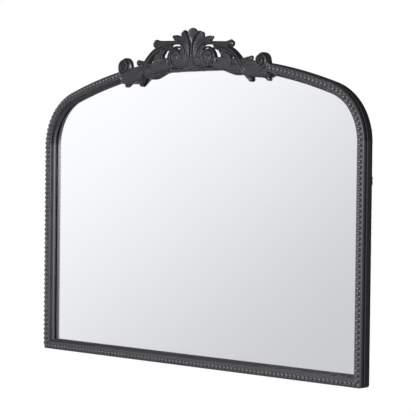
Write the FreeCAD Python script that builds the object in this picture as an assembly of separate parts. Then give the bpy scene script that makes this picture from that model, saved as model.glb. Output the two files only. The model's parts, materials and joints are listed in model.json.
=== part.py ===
import FreeCAD, Part
import math
import os

# Arched wall mirror: a beaded black moulding, a cast scrollwork crown, silvered
# glass and the back that holds them. Sizes are in millimetres.
# X runs along the width, Y into the wall, Z up. The wall is the plane Y = 0 and
# the frame's lower edge is at Z = 0, so the front faces -Y.

# Frame outline, on its outer edge
frame_width = 1016.0
side_height = 524.5
shoulder_radius = 140.0
top_radius = 1248.0
corner_round = 7.6
corner_inset = 7.45

# Moulding section. A reach is measured outward from the bead line, an inset
# inward from it, and a depth forward from the frame's back face.
edge_reach = 9.9
edge_depth = 16.8
ridge_bulge = 0.4
groove_reach = 7.7
groove_depth = 18.6
groove_top = 21.4
band_depth = 22.4
band_top_depth = 26.4
fillet_reach = 7.2
fillet_bulge = 0.8
fillet_depth = 30.0
channel_half = 4.7
channel_depth = 27.8
reed_inset = 7.4
reed_end_inset = 9.1
reed_end_depth = 26.0
reed_bulge = 0.6
cove_inset = 11.2
cove_depth = 19.0
cove_hollow = 0.5
lip_depth = 17.0
lip_bulge = 0.6
sight_inset = 13.4
rabbet_inset = 6.0
rabbet_depth = 14.0

# Beads on their ribbon, let into the channel
ribbon_clearance = 0.2
ribbon_top = 29.2
bead_radius = 4.4
bead_sink = 0.4
bead_pitch = 11.6

# Glass, board and what carries them
glass_thickness = 4.0
glass_clearance = 1.0
board_thickness = 3.0
board_clearance = 1.5
block_length = 40.0
block_place_share = 0.5

# Crown: half its width, its height, and how far its lowest points lie below the bead
# line's top. It is drawn on a pattern of its own size, and the two sides of the real
# casting differ: its left side stands a little taller.
crown_half_width = 238.6
crown_height = 134.0
crown_drop = 54.2
pattern_half_width = 238.6
pattern_height = 134.0
right_stretch = 0.95
left_stretch = 1.09
stretch_low = 20.0
stretch_run = 100.0
crown_back = 17.0
crown_clearance = 0.4
web_front = 35.0
leaf_front = 36.0
near_leaf_front = 36.6
body_front = 37.6
stem_front = 39.0
rib_front = 40.0
boss_front = 45.0
bead_end_clearance = 1.5
limb_steps = 4

# Joints of the frame
dowel_radius = 4.0
dowel_length = 36.0
dowel_reach = 1.8
dowel_depth = 19.0
dowel_clearance = 0.1
spline_thickness = 3.0
spline_depth = 9.0
spline_width = 8.0
spline_length = 9.0
spline_clearance = 0.1

# Steel hardware on the back
plate_thickness = 1.5
plate_width = 10.0
plate_length = 56.0
plate_reach = 1.8
brace_leg = 62.0
brace_screw_places = (20.0, 48.0)
plate_screw_places = (10.0, 22.0)
clip_thickness = 1.2
clip_width = 14.0
clip_flange = 10.0
clip_foot = 10.0
clip_clearance = 0.2
clip_screw_reach = -0.8

# Screws
screw_radius = 1.5
screw_length = 13.0
head_radius = 3.1
head_height = 1.9
head_round = 0.7
point_length = 3.0
tip_share = 0.2
recess_length = 3.6
recess_width = 0.8
recess_depth = 0.9
pilot_clearance = 0.1
crown_screw_radius = 1.9
crown_screw_sink = 2.4
crown_screw_tip = 34.0

# Hangers: a strap with a rolled barrel, and the ring that swings in it
hanger_gap = 43.0
hanger_reach = 0.5
strap_thickness = 1.2
strap_width = 10.0
strap_length = 44.0
strap_screw_places = (9.0, 35.0)
barrel_width = 9.0
barrel_bore = 1.6
ring_wire = 1.25
ring_half_width = 7.25
ring_side = 16.0
ring_bend = 2.6

# Rubber bumpers that stand the frame off the wall
bumper_height = 6.5
bumper_radius = 6.0
bumper_tip_radius = 4.8
bumper_reach = 1.8

# Where the hardware goes, as shares of the member that carries it
bottom_clip_shares = (-0.62, 0.0, 0.62)
stile_clip_shares = (0.2, 0.62)
shoulder_clip_share = 0.5
top_clip_shares = (-0.62, 0.0, 0.62)
bottom_bumper_shares = (-0.8, 0.8)
top_bumper_shares = (-0.78, 0.78)
crown_screw_shares = (-0.87, -0.2, 0.2, 0.87)

# Worked out from the sizes above
overrun = 2.0
half_width = frame_width / 2
line_half = half_width - edge_reach
line_shoulder = shoulder_radius - edge_reach
line_top = top_radius - edge_reach
shoulder_x = half_width - shoulder_radius
centre_step = top_radius - shoulder_radius
shoulder_sweep = math.degrees(math.acos(shoulder_x / centre_step))
top_centre_z = side_height - centre_step * math.sin(math.radians(shoulder_sweep))
top_sweep = 180 - 2 * shoulder_sweep
glass_back = rabbet_depth - glass_thickness
board_back = glass_back - board_thickness
straight_length = side_height - edge_reach
hanger_height = side_height - plate_length / 2 - hanger_gap
crown_foot = top_centre_z + line_top - crown_drop
crown_scale = max(crown_half_width / pattern_half_width, crown_height / pattern_height)

X_AXIS = FreeCAD.Vector(1, 0, 0)
Z_AXIS = FreeCAD.Vector(0, 0, 1)
FRONT = FreeCAD.Vector(0, -1, 0)
ORIGIN = FreeCAD.Vector(0, 0, 0)


def point(x, depth, z):
    """A point given by its depth forward of the frame's back face."""
    return FreeCAD.Vector(x, -(bumper_height + depth), z)


def line(start, end):
    return Part.LineSegment(start, end).toShape()


def mirrored(shape):
    return shape.mirror(ORIGIN, X_AXIS)


def prism(points, back, front):
    """A straight-sided plate from its X, Z corners, between two depths."""
    corners = [point(x, back, z) for x, z in points]
    face = Part.Face(Part.makePolygon(corners + corners[:1]))
    return face.extrude(FRONT * (front - back))


def rod(radius, start, end):
    way = end - start
    return Part.makeCylinder(radius, way.Length, start, way)


# Moulding


def section(place):
    """The moulding's cross-section; place maps a reach and a depth to a point."""
    run = [
        ("line", edge_reach, edge_depth),
        ("arc", groove_reach, groove_depth, -ridge_bulge),
        ("line", groove_reach, groove_top),
        ("line", edge_reach, band_depth),
        ("line", edge_reach, band_top_depth),
        ("arc", fillet_reach, fillet_depth, -fillet_bulge),
        ("line", channel_half, fillet_depth),
        ("line", channel_half, channel_depth),
        ("line", -channel_half, channel_depth),
        ("line", -channel_half, fillet_depth),
        ("line", -reed_inset, fillet_depth),
        ("arc", -reed_end_inset, reed_end_depth, -reed_bulge),
        ("arc", -cove_inset, cove_depth, cove_hollow),
        ("arc", -sight_inset, lip_depth, -lip_bulge),
        ("line", -sight_inset, rabbet_depth),
        ("line", -rabbet_inset, rabbet_depth),
        ("line", -rabbet_inset, 0),
        ("line", edge_reach, 0),
    ]
    edges = []
    reach, depth = edge_reach, 0
    for step in run:
        start, end = place(reach, depth), place(step[1], step[2])
        if step[0] == "line":
            edges.append(line(start, end))
        else:
            run_length = math.hypot(step[1] - reach, step[2] - depth)
            across = (step[2] - depth) / run_length
            along = (step[1] - reach) / run_length
            middle_reach = (reach + step[1]) / 2 - across * step[3]
            middle_depth = (depth + step[2]) / 2 + along * step[3]
            edges.append(Part.Arc(start, place(middle_reach, middle_depth), end).toShape())
        reach, depth = step[1], step[2]
    return Part.Face(Part.Wire(edges))


def ribbon_section(place):
    """The bead ribbon's flat cross-section, a little narrower than its channel."""
    half = channel_half - ribbon_clearance
    corners = [
        place(half, channel_depth),
        place(half, ribbon_top),
        place(-half, ribbon_top),
        place(-half, channel_depth),
    ]
    return Part.Face(Part.makePolygon(corners + corners[:1]))


def stile_solid(face_of):
    """A right-hand upright from the mitre to the shoulder."""
    face = face_of(lambda reach, depth: point(line_half + reach, depth, -overrun))
    run = face.extrude(Z_AXIS * (side_height + overrun))
    outer = half_width + overrun
    top = side_height + overrun
    keep = prism(
        [(outer, -overrun), (outer, top), (half_width - top, top)],
        -overrun,
        fillet_depth + overrun,
    )
    return run.common(keep)


def rail_solid(face_of):
    """The bottom member between its two mitres."""
    outer = half_width + overrun
    face = face_of(lambda reach, depth: point(-outer, depth, edge_reach - reach))
    run = face.extrude(X_AXIS * (2 * outer))
    keep = prism(
        [(-outer, -overrun), (outer, -overrun), (0, half_width)],
        -overrun,
        fillet_depth + overrun,
    )
    return run.common(keep)


def arc_solid(face_of, centre_x, centre_z, radius, start, sweep):
    """A curved member about an axis that runs front to back."""
    centre = FreeCAD.Vector(centre_x, 0, centre_z)
    face = face_of(lambda reach, depth: point(centre_x + radius + reach, depth, centre_z))
    face.rotate(centre, FRONT, start)
    return face.revolve(centre, FRONT, sweep)


def shoulder_solid(face_of):
    return arc_solid(face_of, shoulder_x, side_height, line_shoulder, 0, shoulder_sweep)


def top_solid(face_of, start, sweep):
    return arc_solid(face_of, 0, top_centre_z, line_top, start, sweep)


def corner_cutter():
    """What rounds the lower right corner of the outline."""
    centre_x = half_width - corner_inset
    square = prism(
        [
            (centre_x, corner_inset),
            (half_width + overrun, corner_inset),
            (half_width + overrun, -overrun),
            (centre_x, -overrun),
        ],
        -overrun,
        fillet_depth + overrun,
    )
    drum = rod(
        corner_round,
        point(centre_x, -2 * overrun, corner_inset),
        point(centre_x, fillet_depth + 2 * overrun, corner_inset),
    )
    return square.cut(drum)


# Places on the back face, each with its direction outward


def on_bottom(share):
    """A place on the bottom rail's bead line."""
    return share * line_half, edge_reach, -90


def on_stile(height):
    return line_half, height, 0


def on_shoulder(share):
    turn = shoulder_sweep * share
    angle = math.radians(turn)
    x = shoulder_x + line_shoulder * math.cos(angle)
    return x, side_height + line_shoulder * math.sin(angle), turn


def on_top(share):
    """A place on the top arch, from -1 at its left end to 1 at its right."""
    turn = 90 - share * top_sweep / 2
    angle = math.radians(turn)
    return line_top * math.cos(angle), top_centre_z + line_top * math.sin(angle), turn


def at_top_x(x):
    """The place on the top arch's bead line above a given X."""
    turn = math.degrees(math.acos(x / line_top))
    return x, top_centre_z + line_top * math.sin(math.radians(turn)), turn


def settle(shape, place):
    """Carries a shape made on the bead line, with X outward, to its place."""
    x, z, turn = place
    moved = shape.copy()
    moved.rotate(ORIGIN, FRONT, turn)
    moved.translate(FreeCAD.Vector(x, 0, z))
    return moved


def reflected(place):
    x, z, turn = place
    return -x, z, 180 - turn


# Fasteners


def screw(reach, along, seat, radius=screw_radius, length=screw_length, flat=False):
    """A screw driven forward from the depth of its seat, on a bead-line place."""
    base = point(reach, seat, along)
    neck = point(reach, seat + length - point_length, along)
    shank = rod(radius, base, neck)
    tip = Part.makeCone(radius, radius * tip_share, point_length, neck, FRONT)
    head_top = seat - head_height
    if flat:
        head = Part.makeCone(head_radius, radius, head_height, base, FRONT)
        head_top = seat
    else:
        head = rod(head_radius, point(reach, head_top, along), base)
        rim = [edge for edge in head.Edges if edge.BoundBox.YMin > base.y + head_height / 2]
        head = head.makeFillet(head_round, rim)
    body = shank.multiFuse([tip, head]).removeSplitter()
    slots = [cross_slot(reach, along, head_top, recess_length, recess_width)]
    slots.append(cross_slot(reach, along, head_top, recess_width, recess_length))
    return body.cut(slots)


def cross_slot(reach, along, top, wide, tall):
    corner = point(reach - wide / 2, top + recess_depth, along - tall / 2)
    return Part.makeBox(wide, recess_depth + overrun, tall, corner)


def pilot(reach, along, seat, radius=screw_radius, length=screw_length):
    """The hole that a screw's shank goes into."""
    end = point(reach, seat + length + pilot_clearance, along)
    return rod(radius + pilot_clearance, point(reach, seat - overrun, along), end)


# Hardware, each made on a bead-line place


def joint_plate():
    """A straight steel strap across a butt joint, and its four screw places."""
    lower = -plate_length / 2
    bar = Part.makeBox(
        plate_width,
        plate_thickness,
        plate_length,
        point(plate_reach - plate_width / 2, 0, lower),
    )
    spots = [(plate_reach, side * place) for place in plate_screw_places for side in (-1, 1)]
    holes = [pilot(reach, along, -plate_thickness) for reach, along in spots]
    return bar.cut(holes), spots


def corner_brace():
    """The L plate at the lower right mitre, in the frame's own place."""
    outer = edge_reach - plate_reach - plate_width / 2
    inner = outer + plate_width
    corners = [
        (outer, outer),
        (outer + brace_leg, outer),
        (outer + brace_leg, inner),
        (inner, inner),
        (inner, outer + brace_leg),
        (outer, outer + brace_leg),
    ]
    plate = prism([(half_width - a, b) for a, b in corners], -plate_thickness, 0)
    middle = edge_reach - plate_reach
    spots = []
    for place in brace_screw_places:
        spots.append((half_width - middle, outer + place))
        spots.append((half_width - outer - place, middle))
    holes = [pilot(x, z, -plate_thickness) for x, z in spots]
    return plate.cut(holes), spots


def board_clip():
    """An offset clip: flange on the frame, riser down the rabbet, foot on the board."""
    wall = -rabbet_inset - clip_clearance
    riser = wall - clip_thickness
    flange = wall + clip_clearance + clip_flange
    foot = riser - clip_foot
    corners = [
        (flange, 0),
        (flange, -clip_thickness),
        (riser, -clip_thickness),
        (riser, board_back - clip_thickness),
        (foot, board_back - clip_thickness),
        (foot, board_back),
        (wall, board_back),
        (wall, 0),
    ]
    outline = [point(reach, depth, -clip_width / 2) for reach, depth in corners]
    face = Part.Face(Part.makePolygon(outline + outline[:1]))
    clip = face.extrude(Z_AXIS * clip_width)
    return clip.cut(pilot(clip_screw_reach, 0, -clip_thickness))


def hanger_strap():
    """A strap whose top is rolled into the barrel that holds the ring."""
    radius = barrel_bore + strap_thickness
    plate = Part.makeBox(
        strap_width,
        strap_thickness,
        strap_length,
        point(hanger_reach - strap_width / 2, 0, -strap_length),
    )
    half = barrel_width / 2
    barrel = rod(
        radius,
        point(hanger_reach - half, -radius, 0),
        point(hanger_reach + half, -radius, 0),
    )
    bore = rod(
        barrel_bore,
        point(hanger_reach - half - overrun, -radius, 0),
        point(hanger_reach + half + overrun, -radius, 0),
    )
    strap = plate.fuse(barrel).cut(bore)
    spots = [(hanger_reach, -place) for place in strap_screw_places]
    holes = [pilot(reach, along, -strap_thickness) for reach, along in spots]
    return strap.cut(holes), spots


def d_ring():
    """The ring that hangs from the barrel: a bar, two sides and a round foot."""
    depth = -(barrel_bore + strap_thickness)
    half = ring_half_width
    bar_half = half - ring_bend
    slant = ring_bend * (1 - math.sqrt(0.5))

    def spot(reach, along):
        return point(hanger_reach + reach, depth, along)

    path = [
        line(spot(-bar_half, 0), spot(bar_half, 0)),
        Part.Arc(spot(bar_half, 0), spot(half - slant, -slant), spot(half, -ring_bend)).toShape(),
        line(spot(half, -ring_bend), spot(half, -ring_side)),
        Part.Arc(spot(half, -ring_side), spot(0, -ring_side - half), spot(-half, -ring_side)).toShape(),
        line(spot(-half, -ring_side), spot(-half, -ring_bend)),
        Part.Arc(
            spot(-half, -ring_bend), spot(-half + slant, -slant), spot(-bar_half, 0)
        ).toShape(),
    ]
    circle = Part.Circle(spot(-bar_half, 0), X_AXIS, ring_wire).toShape()
    return Part.Wire(path).makePipeShell([Part.Wire(circle)], True, False)


def bumper():
    return Part.makeCone(
        bumper_tip_radius, bumper_radius, bumper_height, FreeCAD.Vector(bumper_reach, 0, 0), FRONT
    )


# Glass, board and setting blocks


def outline_plate(reach, back, front):
    """A plate in the frame's arched outline, with its edge at the given reach."""
    half = line_half + reach
    low = edge_reach - reach
    radius = line_shoulder + reach
    crown_radius = line_top + reach
    turn = math.radians(shoulder_sweep)
    joint_x = shoulder_x + radius * math.cos(turn)
    joint_z = side_height + radius * math.sin(turn)
    bend_x = shoulder_x + radius * math.cos(turn / 2)
    bend_z = side_height + radius * math.sin(turn / 2)

    def arc(first, middle, last):
        spots = [point(x, back, z) for x, z in (first, middle, last)]
        return Part.Arc(*spots).toShape()

    edges = [
        line(point(-half, back, low), point(half, back, low)),
        line(point(half, back, low), point(half, back, side_height)),
        arc((half, side_height), (bend_x, bend_z), (joint_x, joint_z)),
        arc((joint_x, joint_z), (0, top_centre_z + crown_radius), (-joint_x, joint_z)),
        arc((-joint_x, joint_z), (-bend_x, bend_z), (-half, side_height)),
        line(point(-half, back, side_height), point(-half, back, low)),
    ]
    return Part.Face(Part.Wire(edges)).extrude(FRONT * (front - back))


def setting_block(centre):
    """A thin pad in the bottom rabbet that the glass stands on."""
    low = edge_reach + rabbet_inset
    return Part.makeBox(
        block_length,
        glass_thickness,
        glass_clearance,
        point(centre - block_length / 2, rabbet_depth, low),
    )


# Crown


def crown_spot(x, height, side):
    """A pattern place on the crown's right (1) or left (-1) side."""
    stretch = right_stretch if side > 0 else left_stretch
    share = min(1, abs(x) / stretch_run) * (stretch - 1)
    height += max(0, height - stretch_low) * share
    across = side * x / pattern_half_width * crown_half_width
    return across, crown_foot + height / pattern_height * crown_height


def stroke(knots, side, front, back=crown_back):
    """A limb with round ends that follows its knots and changes in width."""
    spots = [FreeCAD.Vector(*crown_spot(x, height, side), 0) for x, height, width in knots]
    widths = [width * crown_scale for x, height, width in knots]
    spine = Part.BSplineCurve()
    spine.interpolate(spots)
    steps = limb_steps * (len(spots) - 1)
    first, last = spine.FirstParameter, spine.LastParameter
    spot_places = [spine.parameter(spot) for spot in spots]
    sides = ([], [])
    for step in range(steps + 1):
        place = first + (last - first) * step / steps
        half = blended(place, spot_places, widths) / 2
        spot, way = spine.value(place), spine.tangent(place)[0]
        for edge, sign in zip(sides, (1, -1)):
            edge.append((spot.x - sign * way.y * half, spot.y + sign * way.x * half))
    start, end = spine.value(first), spine.value(last)
    start_way, end_way = spine.tangent(first)[0], spine.tangent(last)[0]
    start_tip = start - start_way * (widths[0] / 2)
    end_tip = end + end_way * (widths[-1] / 2)
    left = [point(x, back, z) for x, z in sides[0]]
    right = [point(x, back, z) for x, z in sides[1]]
    left_curve, right_curve = Part.BSplineCurve(), Part.BSplineCurve()
    left_curve.interpolate(left)
    right_curve.interpolate(right)
    edges = [
        left_curve.toShape(),
        Part.Arc(left[-1], point(end_tip.x, back, end_tip.y), right[-1]).toShape(),
        right_curve.toShape(),
        Part.Arc(right[0], point(start_tip.x, back, start_tip.y), left[0]).toShape(),
    ]
    wire = Part.Wire(Part.__sortEdges__(edges))
    return Part.Face(wire).extrude(FRONT * (front - back))


def blended(place, places, values):
    """The value at a place, in straight steps between the given ones."""
    for low, high, start, end in zip(places, places[1:], values, values[1:]):
        if place <= high or high == places[-1]:
            return start + (end - start) * min(max((place - low) / (high - low), 0), 1)
    return values[-1]


def disc(knot, side, front, back=crown_back):
    """A round boss: its x, its height and its width."""
    x, z = crown_spot(knot[0], knot[1], side)
    return rod(knot[2] / 2 * crown_scale, point(x, back, z), point(x, front, z))


def volute_knots():
    """The end scroll, which winds in from its first radius to its last."""
    knots = []
    for step in range(volute_count):
        part = step / (volute_count - 1)
        angle = 2 * math.pi * (volute_turns[0] + (volute_turns[1] - volute_turns[0]) * part)
        radius = volute_radii[0] + (volute_radii[1] - volute_radii[0]) * part
        width = volute_widths[0] + (volute_widths[1] - volute_widths[0]) * part
        x = volute_ball[0] + radius * math.cos(angle)
        knots.append((x, volute_ball[1] + radius * math.sin(angle), width))
    return knots


# Each limb of the crown's right half by its knots: x, height above the foot, width

# Palmette: middle leaf and bud, the leaves beside it and the webs that carry them
middle_leaf = ((0, 62, 8), (0, 88, 9), (0, 103, 14), (0, 112, 22), (0, 118, 33))
middle_bud = ((0, 42, 13), (0, 49, 9), (0, 58, 6))
near_leaf = ((9, 66, 8), (11, 82, 9), (14.5, 96, 12), (20.5, 108, 15), (27.5, 117.5, 16))
far_leaf = ((16, 80, 8), (24, 92, 12), (34, 101.5, 16), (45, 107, 15), (56, 110.5, 10))
second_cord = ((22, 84.5, 4), (28, 92, 4), (37, 97.5, 4), (48, 102.5, 4), (58, 107, 3.6))
middle_web = ((14, 52, 30), (16, 66, 32), (18, 82, 30), (23, 95, 26), (30, 103, 20))
scroll_web = (50, 63, 43)

# The cord that runs from the middle leaf's tip into the inner scroll
cord = (
    (22, 124.5, 4.6),
    (16.5, 119.5, 4.4),
    (11.5, 112, 4),
    (8, 105, 3.8),
    (5.6, 97.5, 3.6),
    (4.4, 89, 3.6),
    (4, 79, 3.6),
    (4.2, 69, 3.6),
    (5.8, 60, 3.8),
    (9, 52.5, 3.8),
    (14, 47, 4),
    (21, 43.5, 4.2),
    (31, 42, 4.4),
    (43, 42.5, 4.6),
    (54.5, 46, 4.8),
    (63, 53, 5),
    (66.8, 63, 5),
    (64.5, 73, 5),
    (57.5, 79.5, 5),
    (48.5, 80.5, 4.8),
    (40, 76, 4.6),
    (35.5, 67.5, 4.4),
    (36.5, 58, 4.2),
    (43, 51.5, 4.2),
    (51.5, 51.5, 4.4),
    (57.5, 57, 4.8),
)
scroll_eye = (50, 65, 13)
scroll_stem = (
    (77, 39, 6),
    (77, 51, 5.5),
    (75.5, 63, 5.5),
    (71, 74.5, 5.5),
    (63, 83, 5),
    (52.5, 88, 5),
    (42, 88, 4.5),
)

# Branch with its knob, and the strap that runs down to the end body
branch = ((44, 98, 8), (56, 98.5, 9), (70, 97.5, 10.5), (84, 96, 13), (98, 94.5, 15), (119, 98.5, 14))
branch_knob = (122.5, 98.2, 17)
strap = (
    (68, 92, 8),
    (80, 90, 12),
    (94, 87.5, 15),
    (107, 84, 17),
    (119, 79, 18),
    (130, 72, 18),
    (140, 64, 18),
    (149, 55, 18),
    (156.5, 45.5, 17.5),
    (163, 36, 17),
    (169, 26.5, 16.5),
    (175, 17, 15.5),
    (180.5, 9.5, 14),
)
side_bud = ((156, 48, 13), (164, 52.5, 12), (172, 56, 12), (177, 57, 12))
side_knob = (181.5, 57.2, 15.6)

# Leaves and hook between the scroll and the strap
tall_leaf_inner = ((103, 35, 9), (106, 48, 8), (105.5, 61, 8), (100, 71.5, 8), (91, 79, 7), (80, 83, 5))
tall_leaf_middle = ((113, 34, 9), (115.5, 47, 8), (114, 60, 8), (108, 71, 8), (99, 79, 6))
tall_leaf_outer = ((120, 38, 8), (122.5, 48, 8), (121, 60, 8), (115, 70, 7))
hook = ((91, 60, 5), (95, 64.5, 5.5), (93.5, 71, 5.5), (88, 77, 5))
spur = ((74, 56, 6), (81, 60.5, 6), (89, 60.5, 7), (96, 59, 8), (104, 57, 8))
base_leaf = ((66, 37, 8), (72, 41, 8), (80, 44, 8), (88, 45.5, 8), (97, 43, 8))
leaf_web = ((84, 42, 14), (104, 42, 16), (122, 40, 14))
tall_web = ((108, 44, 20), (110, 58, 18), (106, 70, 13))

# Cup, base bar, end body and volute
cup_rim = ((122, 40, 6), (129, 44.5, 6), (138, 46.5, 6), (147, 46, 6), (154, 43, 6))
cup_bowl = ((116, 33, 12), (122, 27.5, 13), (130, 25, 13), (140, 24.5, 12.5), (158, 27, 12))
base_bar = ((30, 37, 9), (60, 36.5, 9), (84, 36, 9), (98, 33.5, 9), (109, 29.5, 9), (119, 26, 9))
middle_bar = ((0, 37, 9), (16, 37, 9), (32, 37, 9))
body = ((172, 31, 20), (183, 28, 28), (195, 26, 31), (208, 24, 30), (217, 22, 24))
body_tip = ((214, 22, 20), (221, 14, 15), (226, 8, 9), (229.5, 3.5, 5))
volute_ball = (219.5, 51.5, 36)
volute_eye_width = 11.0
volute_turns = (-0.22, 0.98)
volute_radii = (17.0, 7.5)
volute_widths = (8.0, 5.5)
volute_count = 15


def crown_half(side):
    """The limbs of the crown's right (1) or left (-1) half."""
    strokes = (
        (middle_web, web_front),
        (near_leaf, near_leaf_front),
        (far_leaf, leaf_front),
        (second_cord, body_front),
        (cord, rib_front),
        (scroll_stem, body_front),
        (branch, leaf_front),
        (strap, stem_front),
        (side_bud, leaf_front),
        (tall_leaf_inner, near_leaf_front),
        (tall_leaf_middle, near_leaf_front),
        (tall_leaf_outer, near_leaf_front),
        (hook, leaf_front),
        (spur, leaf_front),
        (base_leaf, leaf_front),
        (leaf_web, web_front),
        (tall_web, web_front),
        (cup_rim, body_front),
        (cup_bowl, web_front),
        (base_bar, web_front),
        (middle_bar, web_front),
        (body, leaf_front),
        (body_tip, web_front),
        (volute_knots(), stem_front),
    )
    discs = (
        (scroll_web, web_front),
        (scroll_eye, body_front),
        (branch_knob, body_front),
        (side_knob, body_front),
        (volute_ball, leaf_front),
        ((volute_ball[0], volute_ball[1], volute_eye_width), boss_front),
    )
    limbs = [stroke(knots, side, front) for knots, front in strokes]
    limbs += [disc(knot, side, front) for knot, front in discs]
    return limbs


def crown_screw_places():
    return [
        at_top_x(share * crown_half_width) for share in crown_screw_shares
    ]


def crown_casting():
    """The whole crown, stepped to sit over the moulding's outer edge."""
    middle = stroke(middle_leaf, 1, web_front)
    bud = stroke(middle_bud, 1, leaf_front)
    whole = middle.multiFuse([bud] + crown_half(1) + crown_half(-1))
    envelope = outline_plate(edge_reach + crown_clearance, -overrun, fillet_depth)
    whole = whole.cut(envelope)
    holes = [settle(crown_pilot(), place) for place in crown_screw_places()]
    return whole.cut(holes)


def crown_screw():
    length = crown_screw_tip - crown_screw_sink
    return screw(dowel_reach, 0, crown_screw_sink, crown_screw_radius, length, True)


def crown_pilot():
    """The long hole of a crown screw, with its countersink."""
    length = crown_screw_tip - crown_screw_sink
    hole = pilot(dowel_reach, 0, crown_screw_sink, crown_screw_radius, length)
    wide = head_radius + pilot_clearance
    sink = Part.makeCone(
        wide,
        crown_screw_radius + pilot_clearance,
        head_height,
        point(dowel_reach, crown_screw_sink, 0),
        FRONT,
    )
    mouth = rod(wide, point(dowel_reach, -overrun, 0), point(dowel_reach, crown_screw_sink, 0))
    return hole.multiFuse([sink, mouth])


# Beads


def bead_solid(ribbon, spots):
    """A ribbon with a domed bead at each spot."""
    base = ribbon_top - bead_sink
    domes = [Part.makeSphere(bead_radius, point(x, base, z), FRONT, 0, 90, 360) for x, z in spots]
    return ribbon.multiFuse(domes)


def spread(length):
    """Distances of the beads along a run, evenly spaced near the pitch."""
    count = max(1, round(length / bead_pitch))
    return [length * (number + 0.5) / count for number in range(count)]


def straight_beads():
    return [(line_half, edge_reach + run) for run in spread(straight_length)]


def bottom_beads():
    return [(run - line_half, edge_reach) for run in spread(2 * line_half)]


def arch_beads(end_turn):
    """Beads up the right shoulder and along the top to the crown."""
    shoulder_length = math.radians(shoulder_sweep) * line_shoulder
    top_length = math.radians(end_turn - shoulder_sweep) * line_top
    spots = []
    for run in spread(shoulder_length + top_length):
        if run < shoulder_length:
            turn = run / line_shoulder
            centre_x, centre_z, radius = shoulder_x, side_height, line_shoulder
        else:
            turn = math.radians(shoulder_sweep) + (run - shoulder_length) / line_top
            centre_x, centre_z, radius = 0, top_centre_z, line_top
        spots.append((centre_x + radius * math.cos(turn), centre_z + radius * math.sin(turn)))
    return spots


def arch_strip():
    """The right-hand strip, as long as the crown leaves."""
    end_x = crown_half_width + bead_end_clearance
    end_turn = at_top_x(end_x)[2]
    lower = shoulder_solid(ribbon_section)
    upper = top_solid(ribbon_section, shoulder_sweep, end_turn - shoulder_sweep)
    return bead_solid(lower.fuse(upper), arch_beads(end_turn))


# Dowels and splines, with the holes they go into


def dowel(clearance):
    half = dowel_length / 2 + clearance
    return rod(
        dowel_radius + clearance,
        point(dowel_reach, dowel_depth, -half),
        point(dowel_reach, dowel_depth, half),
    )


def joint_places():
    """The right-hand butt joints: stile to shoulder, and shoulder to top arch."""
    return [on_shoulder(0), on_shoulder(1)]


def mitre_spline(clearance):
    """A flat tongue across the lower right mitre."""
    middle = edge_reach - dowel_reach
    reach = spline_length / 2 + clearance
    half = spline_width / 2 + clearance
    turned = math.sqrt(0.5)
    corners = []
    for along, across in ((-reach, -half), (reach, -half), (reach, half), (-reach, half)):
        x = half_width - middle + (along + across) * turned
        z = middle + (along - across) * turned
        corners.append((x, z))
    half_thick = spline_thickness / 2 + clearance
    return prism(corners, spline_depth - half_thick, spline_depth + half_thick)


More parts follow.
